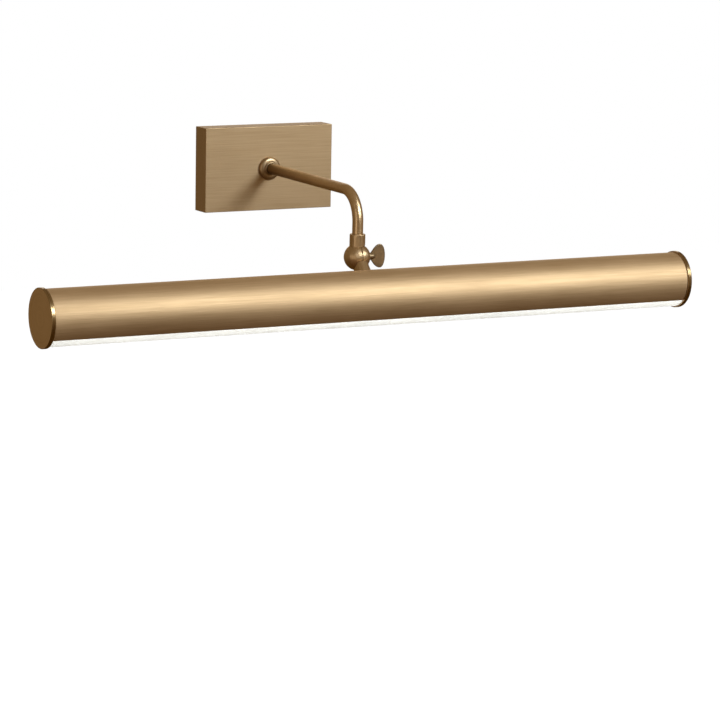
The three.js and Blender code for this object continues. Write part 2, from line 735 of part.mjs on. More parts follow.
function headLead() {
  const inStem = [...pocketRoute, [-0.2, 0, 14], [0, 0, 18], [0, 0, 23], [0, 0, nippleEndZ + 1]]
    .map((point) => fromStem(...point));
  const inTube = [[-5, 9, 9], [-14, 8, 7.8], [CONNECTOR.right + GAP, 8, 7.4]];
  return lead([...inStem, ...inTube], 40);
}

// the plug and socket that join the head's lead to the light strip
function leadConnector() {
  const { right, length, halfWidth, height, middleY } = CONNECTOR;
  const base = carrierTop + GAP;
  const top = base + height;
  const body = box(right - length, right, middleY - halfWidth, middleY + halfWidth, base, top);
  const latch = box(right - 5, right - 2, middleY - 2, middleY + 2, top - 0.5, top + 0.9);
  return join(body, latch);
}

function groundLead() {
  const { x, z } = GROUND_SCREW;
  return lead([
    [x - 5.6, -4.6, z + 1.5],
    [x - 9, -7, z + 6],
    [x - 17, -12, z + 9.6],
    [x - 25, -15, z + 12.4],
    [x - 30, -15.8, z + 14.8],
  ], 24);
}

// ---- assembly ----

const light = new THREE.Group();

function add(parent, name, geometry, finish, x = 0, y = 0, z = 0) {
  const mesh = new THREE.Mesh(geometry, new THREE.MeshStandardMaterial(finish));
  mesh.name = name;
  mesh.position.set(x, y, z);
  parent.add(mesh);
  return mesh;
}

function group(parent, x, y, z) {
  const made = new THREE.Group();
  made.position.set(x, y, z);
  parent.add(made);
  return made;
}

add(light, "canopy_cover", canopyCover(), brass);
add(light, "mounting_plate", mountingPlate(), zincSteel);
for (const [side, x] of [["left", -SET_SCREW_X], ["right", SET_SCREW_X]]) {
  const z = canopyTopZ - SET_SCREW_SUNK;
  add(light, `set_screw_top_${side}`, setScrew(), brass, x, SET_SCREW_Y, z);
  const lower = add(light, `set_screw_bottom_${side}`, setScrew(), brass, x, SET_SCREW_Y, -z);
  lower.rotation.x = Math.PI;
}
add(light, "ground_screw", groundScrew(), groundSleeve, GROUND_SCREW.x, 0, GROUND_SCREW.z);
add(light, "ground_lead", groundLead(), groundSleeve);
add(light, "driver_tape", driverTape(), foam);
add(light, "led_driver", driverCase(), darkMoulding);
add(light, "supply_terminal", supplyTerminal(), paleMoulding);

add(light, "arm_flange", armFlange(), brass);
add(light, "arm_washer", armWasher(), zincSteel);
add(light, "arm_locknut", armLocknut(), zincSteel);

const drooped = group(light, 0, canopyFrontY, 0);
drooped.rotation.x = ARM_DROOP;
const arm = group(drooped, 0, -canopyFrontY, 0);
add(arm, "arm_tube", armTube(), brass);
add(arm, "arm_collar", armCollar(), brass);
add(arm, "lead_bush", leadBush(), darkMoulding);
add(arm, "arm_lead", armLead(), leadSleeve);

const knuckle = group(arm, 0, KNUCKLE_Y, KNUCKLE_Z);
add(knuckle, "knuckle_upper", knuckleUpper(), brass);
add(knuckle, "clamp_washer", clampWasher(), brass);
add(knuckle, "thumbscrew", thumbscrew(), brass);

// the lower half hangs from the knuckle's axis, turned back by the arm's droop
const tilted = group(knuckle, 0, 0, 0);
tilted.rotation.x = -HEAD_TILT - ARM_DROOP;
const stem = group(tilted, 0, 0, 0);
stem.rotation.y = Math.PI;
add(stem, "knuckle_lower", knuckleLower(), brass);
add(stem, "stem_nipple", stemNipple(), zincSteel);
add(stem, "saddle_washer", saddleWasher(), zincSteel);
add(stem, "stem_locknut", stemNut(), zincSteel);

// the head's own frame is level at rest, its mouth straight down
const head = group(tilted, 0, 0, -STEM_LENGTH);
head.rotation.x = HEAD_TILT;
add(head, "head_tube", headTube(), brass);
add(head, "diffuser", diffuser(), opal);
add(head, "led_carrier", ledCarrier(), aluminium);
add(head, "led_strip", ledStrip(), boardWhite);
add(head, "lead_connector", leadConnector(), paleMoulding);
add(head, "head_lead", headLead(), leadSleeve);
add(head, "carrier_screw_right", carrierScrew(), zincSteel, carrierScrewX);
add(head, "carrier_screw_left", carrierScrew(), zincSteel, -carrierScrewX);
add(head, "end_cap_right", endCap(), brass);
add(head, "end_cap_left", endCap(), brass).rotation.z = Math.PI;

export default light;
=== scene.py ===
"""Picture light: its looks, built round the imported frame, in metres."""

import json
import math

import bmesh
import bpy
from mathutils import Matrix, Vector

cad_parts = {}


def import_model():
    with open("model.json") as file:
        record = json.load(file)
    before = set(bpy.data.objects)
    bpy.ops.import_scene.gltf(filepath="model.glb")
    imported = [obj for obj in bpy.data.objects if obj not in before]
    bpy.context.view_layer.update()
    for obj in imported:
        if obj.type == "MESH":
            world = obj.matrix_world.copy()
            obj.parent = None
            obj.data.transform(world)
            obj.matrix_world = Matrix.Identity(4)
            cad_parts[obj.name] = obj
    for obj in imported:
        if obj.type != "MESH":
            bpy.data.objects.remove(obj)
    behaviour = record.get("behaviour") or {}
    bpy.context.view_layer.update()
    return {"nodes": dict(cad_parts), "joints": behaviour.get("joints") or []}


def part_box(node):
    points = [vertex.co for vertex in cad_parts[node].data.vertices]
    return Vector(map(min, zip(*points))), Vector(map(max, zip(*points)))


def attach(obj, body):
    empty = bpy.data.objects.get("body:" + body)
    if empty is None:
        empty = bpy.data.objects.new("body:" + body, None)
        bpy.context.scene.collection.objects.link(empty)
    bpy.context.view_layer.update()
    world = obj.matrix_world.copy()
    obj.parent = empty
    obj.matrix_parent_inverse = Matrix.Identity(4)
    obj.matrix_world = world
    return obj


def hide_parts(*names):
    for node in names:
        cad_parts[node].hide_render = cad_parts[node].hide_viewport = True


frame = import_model()

MM = 0.001

# ---- places that the frame gives ----

JOINTS = {joint["name"]: joint for joint in frame["joints"]}
BALL = Vector(JOINTS["head_tilt"]["pos_m"])
CANOPY_LOW, CANOPY_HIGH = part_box("canopy_cover")
CANOPY_FRONT = CANOPY_LOW.y
TUBE_LOW, TUBE_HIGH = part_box("head_tube")
TUBE_RADIUS = (TUBE_HIGH.y - TUBE_LOW.y) / 2
TUBE_CENTRE = Vector((0, (TUBE_LOW.y + TUBE_HIGH.y) / 2, TUBE_HIGH.z - TUBE_RADIUS))

# ---- sizes of the pieces ----

DROOP = math.radians(0.7)
CANOPY_WALL = 1.6 * MM
CANOPY_EDGE = 0.45 * MM
SET_SCREW_RADIUS = 1.5 * MM
ARM_RADIUS = 4.7625 * MM
ARM_BORE = 3.3 * MM
ARM_BEND_RADIUS = 26 * MM
KNUCKLE_Y = -195.8 * MM
KNUCKLE_Z = -56.2 * MM
NECK_RADIUS = 6.85 * MM
NECK_REACH = 20.1 * MM
NECK_SOCKET = 7.5 * MM
BALL_RADIUS = 11.6 * MM
PIVOT_FACET_X = 10.4 * MM
SPLIT_EDGE = 0.5 * MM
HEAD_TILT = math.radians(45)
STEM_LENGTH = NECK_REACH + TUBE_RADIUS
TUBE_WALL = 1.2 * MM
MOUTH_HALF_ANGLE = math.radians(46.5)
TUBE_FACETS = 200
STRIP_FACETS = 180
STRIP_WALL = 1.5 * MM
STRIP_LEDGE_HALF_ANGLE = math.radians(54)
STRIP_MOUTH_HALF_ANGLE = math.radians(46.2)
LEAD_BORE = 2.6 * MM
PIVOT_BORE = 2.65 * MM
PIVOT_BOSS = 4.1 * MM
STEM_SOCKET_RADIUS = 4.3 * MM
STEM_SOCKET_DEPTH = 7 * MM
LEAD_POCKET_RADIUS = 8.4 * MM
LEAD_POCKET_DEPTH = 4.2 * MM
ARM_INNER_END = -10.5 * MM
GAP = 0.3 * MM
MERGE_WITHIN = 1e-6


# ---- modelling helpers ----

def deselect():
    bpy.ops.object.select_all(action="DESELECT")


def select_only(piece):
    deselect()
    piece.select_set(True)
    bpy.context.view_layer.objects.active = piece


def editing(piece):
    select_only(piece)
    bpy.ops.object.mode_set(mode="EDIT")


def done_editing():
    bpy.ops.object.mode_set(mode="OBJECT")


def settle(piece):
    """Puts a piece's place, turn and size into its mesh."""
    select_only(piece)
    bpy.ops.object.transform_apply(location=True, rotation=True, scale=True)
    return piece


def start(name, add, stretch=(1, 1, 1), **settings):
    """A primitive, alone selected, with its place already in its mesh."""
    deselect()
    add(**settings)
    piece = bpy.context.object
    piece.name = name
    piece.data.name = name
    piece.scale = stretch
    return settle(piece)


def pick(piece, kind, test):
    """In edit mode, selects only the parts that pass the test."""
    kinds = ["VERT", "EDGE", "FACE"]
    bpy.ops.mesh.select_mode(type=kind)
    bpy.ops.mesh.select_all(action="DESELECT")
    mesh = bmesh.from_edit_mesh(piece.data)
    parts = [mesh.verts, mesh.edges, mesh.faces][kinds.index(kind)]
    for part in [part for part in parts if test(part)]:
        part.select_set(True)
    mesh.select_flush_mode()
    bmesh.update_edit_mesh(piece.data)


def middle(edge):
    return (edge.verts[0].co + edge.verts[1].co) / 2


def modify(piece, kind, **settings):
    """Adds a modifier with its settings and applies it."""
    select_only(piece)
    modifier = piece.modifiers.new(kind.title(), kind)
    for key, value in settings.items():
        setattr(modifier, key, value)
    bpy.ops.object.modifier_apply(modifier=modifier.name)
    return piece


def combine(piece, operation, *others):
    """Joins, cuts or keeps what is common with solids that are used up by it."""
    for other in others:
        modify(piece, "BOOLEAN", operation=operation, object=other, solver="EXACT")
        bpy.data.objects.remove(other)
    return piece


def cut(piece, *tools):
    return combine(piece, "DIFFERENCE", *tools)


def rounded_edges(piece, width, segments=3, angle=30):
    """Bevels every edge sharper than the angle, in degrees."""
    return modify(
        piece, "BEVEL", width=width, segments=segments,
        limit_method="ANGLE", angle_limit=math.radians(angle),
        use_clamp_overlap=True,
    )


def smooth(piece, angle=32, weighted=True):
    """Smooth shading up to the angle, and flat faces that stay flat beside bevels."""
    select_only(piece)
    bpy.ops.object.shade_smooth_by_angle(angle=math.radians(angle))
    if weighted:
        modify(piece, "WEIGHTED_NORMAL", keep_sharp=True, weight=60)
    return piece


def clean(piece):
    """Merges doubles and turns every face outwards."""
    editing(piece)
    bpy.ops.mesh.select_all(action="SELECT")
    bpy.ops.mesh.remove_doubles(threshold=MERGE_WITHIN)
    bpy.ops.mesh.normals_make_consistent(inside=False)
    done_editing()
    return piece


def block(name, low, high):
    """A box between two corners."""
    low, high = Vector(low), Vector(high)
    return start(
        name, bpy.ops.mesh.primitive_cube_add,
        size=1, location=(low + high) / 2, stretch=high - low,
    )


def rod(name, radius, end_a, end_b, sides=64):
    """A round bar between two points."""
    end_a, end_b = Vector(end_a), Vector(end_b)
    run = end_b - end_a
    return start(
        name, bpy.ops.mesh.primitive_cylinder_add,
        radius=radius, depth=run.length, vertices=sides,
        location=(end_a + end_b) / 2,
        rotation=run.to_track_quat("Z", "Y").to_euler(),
    )


def ball(name, radius, sides=96):
    """A ball about the origin, with its poles on the X axis."""
    return start(
        name, bpy.ops.mesh.primitive_uv_sphere_add,
        radius=radius, segments=sides, ring_count=sides // 2,
        rotation=(0, math.pi / 2, 0),
    )


def turned(name, profile, sides=96):
    """A turned piece about Z: a circle drawn out ring by ring through (radius, height)
    pairs, in millimetres, and back to its first ring."""
    (radius, height), *rest = profile
    piece = start(
        name, bpy.ops.mesh.primitive_circle_add,
        vertices=sides, radius=radius * MM, location=(0, 0, height * MM),
    )
    editing(piece)
    bpy.ops.mesh.select_all(action="SELECT")
    for next_radius, next_height in rest:
        rise = (next_height - height) * MM
        bpy.ops.mesh.extrude_edges_move(TRANSFORM_OT_translate={"value": (0, 0, rise)})
        grow = next_radius / radius
        bpy.ops.transform.resize(
            value=(grow, grow, 1), center_override=(0, 0, next_height * MM)
        )
        radius, height = next_radius, next_height
    done_editing()
    return piece


def close_ends(piece):
    """Fills each open end of a turned piece."""
    editing(piece)
    bpy.ops.mesh.select_mode(type="EDGE")
    bpy.ops.mesh.select_all(action="DESELECT")
    bpy.ops.mesh.select_non_manifold(
        extend=False, use_wire=False, use_boundary=True,
        use_multi_face=False, use_non_contiguous=False, use_verts=False,
    )
    bpy.ops.mesh.edge_face_add()
    done_editing()
    return clean(piece)


def move(piece, matrix):
    """Moves a piece, and puts its new place into its mesh."""
    piece.matrix_world = matrix
    return settle(piece)


def turn_about(angle, axis, centre):
    centre = Vector(centre)
    turn = Matrix.Rotation(angle, 4, axis)
    return Matrix.Translation(centre) @ turn @ Matrix.Translation(-centre)


def about_axis(place):
    """Angle of a place round the lamp tube, from straight down towards the wall."""
    return math.atan2(place.y - TUBE_CENTRE.y, TUBE_CENTRE.z - place.z)


def swept_sheet(name, radius, from_angle, to_angle, steps):
    """A plane cut down to one edge along the lamp tube, then spun about the tube's axis into
    a curved sheet."""
    first = TUBE_CENTRE + radius * Vector((0, math.sin(from_angle), -math.cos(from_angle)))
    strip = 2 * MM
    sheet = start(
        name, bpy.ops.mesh.primitive_plane_add,
        size=1, stretch=(TUBE_HIGH.x - TUBE_LOW.x, strip, 1),
        location=first + Vector((0, strip / 2, 0)),
    )
    editing(sheet)
    pick(sheet, "VERT", lambda corner: corner.co.y > first.y + strip / 2)
    bpy.ops.mesh.delete(type="VERT")
    bpy.ops.mesh.select_all(action="SELECT")
    bpy.ops.mesh.spin(
        steps=steps, angle=to_angle - from_angle,
        center=TUBE_CENTRE, axis=(-1, 0, 0),
    )
    bpy.ops.mesh.select_all(action="SELECT")
    bpy.ops.mesh.normals_make_consistent(inside=False)
    done_editing()
    return sheet


# ---- shader helpers ----

class Value:
    """A shader socket. Sums and products of values add Math nodes."""

    def __init__(self, finish, socket):
        self.finish = finish
        self.socket = socket

    def math(self, operation, *others):
        return self.finish.node("Math", {"operation": operation}, [self, *others])

    def __add__(self, other):
        return self.math("ADD", other)

    def __mul__(self, other):
        return self.math("MULTIPLY", other)

    def __sub__(self, other):
        return self.math("SUBTRACT", other)

    def __rsub__(self, other):
        return self.finish.node("Math", {"operation": "SUBTRACT"}, [other, self])

    def __pow__(self, other):
        return self.math("POWER", other)

    __radd__ = __add__
    __rmul__ = __mul__


class Finish:
    """A material, or the world, with its nodes."""

    def __init__(self, owner):
        owner.use_nodes = True
        self.owner = owner
        self.tree = owner.node_tree
        self.tree.nodes.clear()

    def node(self, kind, settings, inputs, output=0):
        """One node, its settings first, then its sockets by number or name."""
        node = self.tree.nodes.new("ShaderNode" + kind)
        for key, value in settings.items():
            if key == "stops":
                ramp = node.color_ramp
                while len(ramp.elements) < len(value):
                    ramp.elements.new(1)
                for element, (position, colour) in zip(ramp.elements, value):
                    element.position = position
                    element.color = (*colour, 1)
            else:
                setattr(node, key, value)
        pairs = inputs.items() if isinstance(inputs, dict) else enumerate(inputs)
        for key, value in pairs:
            if isinstance(value, Value):
                self.tree.links.new(value.socket, node.inputs[key])
            else:
                node.inputs[key].default_value = value
        return Value(self, node.outputs[output]) if node.outputs else None

    def place(self, scale=(1, 1, 1), centre=(0, 0, 0)):
        """Object coordinates, centred and scaled."""
        coordinates = self.node("TexCoord", {}, [], output="Object")
        centred = self.node("Mapping", {"vector_type": "POINT"}, {
            "Vector": coordinates, "Location": [-c for c in centre],
        })
        return self.node("Mapping", {"vector_type": "POINT"}, {
            "Vector": centred, "Scale": scale,
        })

    def noise(self, vector, scale, detail=2.0):
        """Noise centred on 0.5."""
        return self.node("TexNoise", {}, {
            "Vector": vector, "Scale": scale, "Detail": detail,
        }, output="Fac")

    def fit(self, value, low, high, out_low=0.0, out_high=1.0):
        """A value's range fitted to another range, held at its ends."""
        return self.node("MapRange", {"clamp": True}, {
            "Value": value, "From Min": low, "From Max": high,
            "To Min": out_low, "To Max": out_high,
        })

    def split(self, vector):
        """The three numbers of a vector."""
        outputs = self.node("SeparateXYZ", {}, [vector]).socket.node.outputs
        return [Value(self, output) for output in outputs]

    def join(self, *numbers):
        return self.node("CombineXYZ", {}, list(numbers))

    def mix(self, share, colour_a, colour_b):
        return self.node("Mix", {"data_type": "RGBA"}, {
            0: share, 6: colour_a, 7: colour_b,
        }, output=2)

    def bump(self, height, distance):
        """A normal for a height of 0 to 1, whose full rise is the distance."""
        return self.node("Bump", {}, {"Height": height, "Strength": 1.0, "Distance": distance})

    def surface(self, **sockets):
        """The Principled shader. Sockets are given by name, with _ for a space."""
        inputs = {key.replace("_", " "): value for key, value in sockets.items()}
        shader = self.node("BsdfPrincipled", {}, inputs)
        self.node("OutputMaterial", {}, {"Surface": shader})
        return self.owner


def material(name):
    return Finish(bpy.data.materials.new(name))


def rgb(red, green, blue):
    return (red, green, blue, 1.0)


BRASS_LIGHT = rgb(0.7, 0.49, 0.28)
BRASS_DEEP = rgb(0.58, 0.39, 0.205)
# Painted shade for the end discs' rims.
BRASS_PAINTED_RIM_SHADE = rgb(0.36, 0.235, 0.11)
# Painted shade for the arm near the canopy.
BRASS_PAINTED_ARM_SHADE = rgb(0.26, 0.16, 0.062)


def shaded(colour, share):
    return rgb(*[part * share for part in colour[:3]])


def cap_rim_painted_shade(finish, x, y, z):
    """The end discs' rims, which are smoother than their faces and darkened with painted shade
    for the dark reflection that they show.
    """
    y, z = y - TUBE_CENTRE.y, z - TUBE_CENTRE.z
    return finish.fit((y * y + z * z) ** 0.5, 24.95 * MM, 25.15 * MM)


def painted_shade_by_canopy(finish, x, y, z):
    """Painted shade: the arm darkens towards the canopy, standing in for the dark surroundings
    that it reflects there.
    """
    return finish.fit(y, -125 * MM, -32 * MM)


def straight_grain(*scale):
    """Brushing in one direction: how fine it is along X, Y and Z, per metre."""
    return lambda finish: finish.place(scale=scale)


def turned_grain(axis, centre):
    """Lathe marks: rings about an axis, 0 for X, 1 for Y and 2 for Z."""
    fine, round_it = 2400.0, 30.0

    def coordinates(finish):
        place = finish.split(finish.place(centre=centre))
        height = place.pop(axis)
        first, second = place
        radius = (first * first + second * second) ** 0.5
        return finish.join(radius * fine, height * fine, first * round_it)
    return coordinates


def arm_grain(finish):
    """Polishing rings that follow the arm round its bend."""
    x, y, z = finish.split(finish.place())
    start_y = KNUCKLE_Y + ARM_BEND_RADIUS
    fall = z + ARM_BEND_RADIUS
    angle = (start_y - y).math("ARCTAN2", fall)
    angle = angle.math("MAXIMUM", 0.0).math("MINIMUM", math.pi / 2)
    length = angle * ARM_BEND_RADIUS - y.math("MAXIMUM", start_y) - fall.math("MINIMUM", 0.0)
    return finish.join(length * 3800, x * 60, (y + z) * 60)


def brass(name, grain, roughness, grain_height, shade=1.0, patch=None):
    """Satin brass. grain gives the brushing's coordinates, and grain_height its depth in
    millimetres. shade darkens the whole colour as painted shade; patch is a mask of painted
    shade, its colour and its change in roughness."""
    finish = material(name)
    plain = finish.place()
    brushed = grain(finish)
    fine = finish.noise(brushed, 1.0, detail=1.0)
    broad = finish.noise(brushed, 0.35, detail=2.0)
    cloud = finish.noise(plain, 14.0, detail=2.0)
    tone = finish.fit(fine * 0.25 + broad * 0.55 + cloud * 0.2, 0.34, 0.66)
    colour = finish.mix(tone, shaded(BRASS_DEEP, shade), shaded(BRASS_LIGHT, shade))
    rough = finish.fit(fine * 0.6 + cloud * 0.4, 0.3, 0.7, roughness - 0.05, roughness + 0.06)
    if patch is not None:
        mask, patch_colour, change = patch
        share = mask(finish, *finish.split(plain))
        colour = finish.mix(share, colour, patch_colour)
        rough = rough + share * change
    return finish.surface(
        Base_Color=colour, Metallic=1.0, Roughness=rough,
        Normal=finish.bump(fine, grain_height * MM),
    )


def moulded(name, colour, roughness=0.5, grain=700.0, height=0.02, **more):
    """Moulded plastic or rubber with a fine pebbled skin."""
    finish = material(name)
    place = finish.place()
    pebble = finish.noise(place, grain, detail=2.0)
    cloud = finish.noise(place, 30.0, detail=2.0)
    return finish.surface(
        Base_Color=finish.mix(finish.fit(cloud, 0.3, 0.7), shaded(colour, 0.86), colour),
        Roughness=finish.fit(pebble, 0.3, 0.7, roughness - 0.05, roughness + 0.07),
        Normal=finish.bump(pebble, height * MM), **more,
    )


def plated(name, colour, roughness=0.36, grain=(60, 60, 60)):
    """Bare or plated metal: faint rolling lines and a mottled bloom."""
    finish = material(name)
    mottle = finish.noise(finish.place(), 240.0, detail=3.0)
    lines = finish.noise(finish.place(scale=grain), 1.0, detail=2.0)
    return finish.surface(
        Base_Color=finish.mix(
            finish.fit(mottle * 0.6 + lines * 0.4, 0.3, 0.7), shaded(colour, 0.78), colour,
        ),
        Metallic=1.0,
        Roughness=finish.fit(mottle, 0.3, 0.7, roughness - 0.06, roughness + 0.1),
        Normal=finish.bump(lines * 0.7 + mottle * 0.3, 0.012 * MM),
    )


def dress(piece, finish, body, node):
    """Gives a piece its finish and its body, and hides the CAD node that it stands for."""
    piece.data.materials.clear()
    piece.data.materials.append(finish)
    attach(piece, body)
    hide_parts(node)


# ---- finishes ----

BRUSH_X = straight_grain(55, 3400, 3400)
TUBE_AXIS = (0, TUBE_CENTRE.y, TUBE_CENTRE.z)

# Each shade number below darkens that brass as painted shade, to how bright the part looks
# under this lighting.
plate_brass = brass("brass_canopy", BRUSH_X, roughness=0.5, grain_height=0.055, shade=0.79)
tube_brass = brass("brass_lamp_tube", BRUSH_X, roughness=0.6, grain_height=0.08, shade=0.96)
# The end discs' rims take painted shade.
disc_brass = brass(
    "brass_end_disc", turned_grain(0, TUBE_AXIS), roughness=0.38, grain_height=0.04,
    patch=(cap_rim_painted_shade, BRASS_PAINTED_RIM_SHADE, -0.14),
)
# The arm takes painted shade towards the canopy.
arm_brass = brass(
    "brass_arm", arm_grain, roughness=0.36, grain_height=0.1,
    patch=(painted_shade_by_canopy, BRASS_PAINTED_ARM_SHADE, 0.04),
)
neck_brass = brass(
    "brass_knuckle", straight_grain(3400, 60, 60), roughness=0.36, grain_height=0.24,
    shade=0.88,
)
rosette_brass = brass(
    "brass_rosette", turned_grain(1, (0, 0, 0)), roughness=0.36, grain_height=0.03, shade=0.68,
)
# The thumbscrew's low shade is painted shade for the dark reflection on its wing.
spade_brass = brass(
    "brass_thumbscrew", straight_grain(2400, 2400, 90), roughness=0.42, grain_height=0.04,
    shade=0.45,
)
zinc = plated("zinc_plate", rgb(0.62, 0.63, 0.64))
alloy = plated("extruded_aluminium", rgb(0.78, 0.79, 0.8), grain=(8, 1800, 1800))
green_zinc = plated("green_zinc", rgb(0.05, 0.22, 0.09), roughness=0.3)
dark_case = moulded("dark_moulding", rgb(0.04, 0.045, 0.05))
pale_case = moulded("pale_moulding", rgb(0.8, 0.79, 0.76))
foam = moulded("foam_tape", rgb(0.06, 0.065, 0.07), roughness=0.85, grain=1600, height=0.06)
sleeve = moulded("lead_sleeve", rgb(0.82, 0.81, 0.77), roughness=0.45, grain=400, height=0.01)
green_sleeve = moulded("ground_sleeve", rgb(0.05, 0.25, 0.09), roughness=0.45, grain=400)
board = moulded("white_board", rgb(0.9, 0.91, 0.9), roughness=0.4, grain=1200, height=0.004)
opal = moulded(
    "opal_acrylic", rgb(0.83, 0.80, 0.73), roughness=0.38, grain=500, height=0.002,
    Subsurface_Weight=0.25, Subsurface_Radius=(0.004, 0.004, 0.0036),
)


# ---- canopy ----

def canopy():
    cover = block("canopy_box", CANOPY_LOW, CANOPY_HIGH)
    editing(cover)
    pick(cover, "FACE", lambda face: face.normal.y > 0.9)
    bpy.ops.mesh.delete(type="ONLY_FACE")
    on_wall = CANOPY_HIGH.y - 0.1 * MM
    pick(cover, "EDGE", lambda edge: middle(edge).y < on_wall)
    bpy.ops.mesh.bevel(offset=CANOPY_EDGE, segments=4, profile=0.5, affect="EDGES")
    done_editing()
    modify(cover, "SOLIDIFY", thickness=CANOPY_WALL, offset=-1, use_even_offset=True)
    through = CANOPY_FRONT + 3 * MM
    holes = [rod("hole", ARM_RADIUS + GAP, (0, CANOPY_FRONT - MM, 0), (0, through, 0))]
    for side in ("left", "right"):
        low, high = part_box("set_screw_top_" + side)
        x, y = (low.x + high.x) / 2, (low.y + high.y) / 2
        for end in (CANOPY_LOW.z, CANOPY_HIGH.z):
            holes.append(rod(
                "hole", SET_SCREW_RADIUS + GAP, (x, y, end - 3 * MM), (x, y, end + 3 * MM), 48,
            ))
    cut(cover, *holes)
    smooth(clean(cover))
    dress(cover, plate_brass, "wall_base", "canopy_cover")


canopy()


# ---- arm ----

arm_frame = turn_about(DROOP, "X", (0, CANOPY_FRONT, 0))


def rosette():
    """A short rim and a dome up to the collar."""
    base = -CANOPY_FRONT / MM + 0.3
    profile = [
        (5.0625, base), (10.1, base), (10.4, base + 0.3), (10.4, base + 1.0),
        (10.25, base + 1.3),
    ]
    for i in range(1, 13):
        turn = math.pi / 2 * i / 12
        profile.append((6.6 + 3.65 * math.cos(turn), base + 1.3 + 2.3 * math.sin(turn)))
    profile += [(5.4, base + 3.6), (5.0625, base + 3.3), (5.0625, base)]
    piece = clean(turned("arm_rosette", profile))
    move(piece, Matrix.Rotation(math.pi / 2, 4, "X"))
    smooth(piece, angle=40)
    dress(piece, rosette_brass, "wall_base", "arm_flange")


def collar():
    """The bead between the rosette and the arm."""
    base = -CANOPY_FRONT / MM + 4.2
    profile = [(5.0625, base), (5.9, base), (6.1, base + 0.2)]
    for i in range(7):
        turn = math.pi / 2 * i / 6
        profile.append((5.55 + 0.55 * math.cos(turn), base + 0.7 + 0.6 * math.sin(turn)))
    profile += [(5.25, base + 1.3), (5.0625, base + 1.1), (5.0625, base)]
    piece = clean(turned("arm_bead", profile))
    move(piece, arm_frame @ Matrix.Rotation(math.pi / 2, 4, "X"))
    smooth(piece, angle=40)
    dress(piece, rosette_brass, "wall_base", "arm_collar")


def arm():
    """A ring drawn out level, spun down round the bend and drawn out to the knuckle."""
    bend_y = KNUCKLE_Y + ARM_BEND_RADIUS
    low_end = KNUCKLE_Z + NECK_REACH - NECK_SOCKET + GAP
    tube = start(
        "arm_pipe", bpy.ops.mesh.primitive_circle_add,
        vertices=72, radius=ARM_RADIUS, location=(0, ARM_INNER_END, 0),
        rotation=(math.pi / 2, 0, 0),
    )
    editing(tube)
    bpy.ops.mesh.select_all(action="SELECT")
    ring_y = ARM_INNER_END
    for y in (-40 * MM, -80 * MM, -120 * MM, -150 * MM, bend_y):
        bpy.ops.mesh.extrude_edges_move(
            TRANSFORM_OT_translate={"value": (0, y - ring_y, 0)}
        )
        ring_y = y
    bpy.ops.mesh.spin(
        steps=40, angle=math.pi / 2,
        center=(0, bend_y, -ARM_BEND_RADIUS), axis=(-1, 0, 0),
    )
    bpy.ops.mesh.extrude_edges_move(
        TRANSFORM_OT_translate={"value": (0, 0, low_end + ARM_BEND_RADIUS)}
    )
    bpy.ops.mesh.select_all(action="SELECT")
    bpy.ops.mesh.remove_doubles(threshold=MERGE_WITHIN)
    bpy.ops.mesh.normals_make_consistent(inside=False)
    done_editing()
    modify(tube, "SOLIDIFY", thickness=ARM_RADIUS - ARM_BORE, offset=-1, use_even_offset=True)
    move(tube, arm_frame)
    smooth(tube, angle=40, weighted=False)
    dress(tube, arm_brass, "wall_base", "arm_tube")


rosette()
collar()
arm()


# ---- knuckle ----

def casting(name, facet_x, hole_end_x, socket_radius, socket_depth):
    """Half of the ball, at X below 0, with its whole neck pointing up, about the origin.
    facet_x is where the ball's end is cut flat, if it is."""
    reach = 20 * MM
    piece = ball(name, BALL_RADIUS)
    neck_profile = [
        (0.6, 3.0), (NECK_RADIUS / MM, 3.0), (NECK_RADIUS / MM, 19.55), (6.75, 19.85),
        (6.5, 20.1), (0.6, 20.1),
    ]
    neck = close_ends(turned("neck", neck_profile))
    other_ball = ball("room", BALL_RADIUS + GAP)
    cut(other_ball, block("side", (-reach, -reach, -reach), (-GAP / 2, reach, reach)))
    relief = block("relief", (0, -10 * MM, -6 * MM), (14 * MM, 10 * MM, 0))
    foot = Matrix.Translation((4.4 * MM, 0, 9.7 * MM))
    move(relief, foot @ Matrix.Rotation(-math.pi / 4, 4, "Y"))
    under = block("under", (-GAP / 2, -reach, -reach), (reach, reach, BALL_RADIUS / 2))
    cut(neck, other_ball, under, relief)
    cut(piece, block("side", (-GAP / 2, -reach, -reach), (reach, reach, reach)))
    editing(piece)
    pick(piece, "EDGE", lambda edge: all(corner.co.x > -GAP for corner in edge.verts))
    bpy.ops.mesh.bevel(offset=SPLIT_EDGE, segments=2, profile=0.5, affect="EDGES")
    done_editing()
    if facet_x:
        cut(piece, block("facet", (-reach, -reach, -reach), (facet_x, reach, reach)))
    combine(piece, "UNION", neck)
    pocket = rod("pocket", LEAD_POCKET_RADIUS, (-LEAD_POCKET_DEPTH, 0, 0), (MM, 0, 0))
    cut(pocket, rod("boss", PIVOT_BOSS, (-5 * MM, 0, 0), (2 * MM, 0, 0)))
    top = NECK_REACH + MM
    cut(
        piece, pocket,
        rod("bore", LEAD_BORE, (0, 0, 5.1 * MM), (0, 0, top)),
        rod("pivot", PIVOT_BORE, (hole_end_x, 0, 0), (reach, 0, 0)),
        rod("socket", socket_radius, (0, 0, NECK_REACH - socket_depth), (0, 0, top)),
    )
    return clean(piece)


def knuckle_upper():
    piece = casting("knuckle_arm_half", None, -8.4 * MM, ARM_RADIUS + GAP, NECK_SOCKET)
    move(piece, Matrix.Translation(BALL) @ Matrix.Rotation(DROOP, 4, "X"))
    smooth(piece)
    dress(piece, neck_brass, "wall_base", "knuckle_upper")


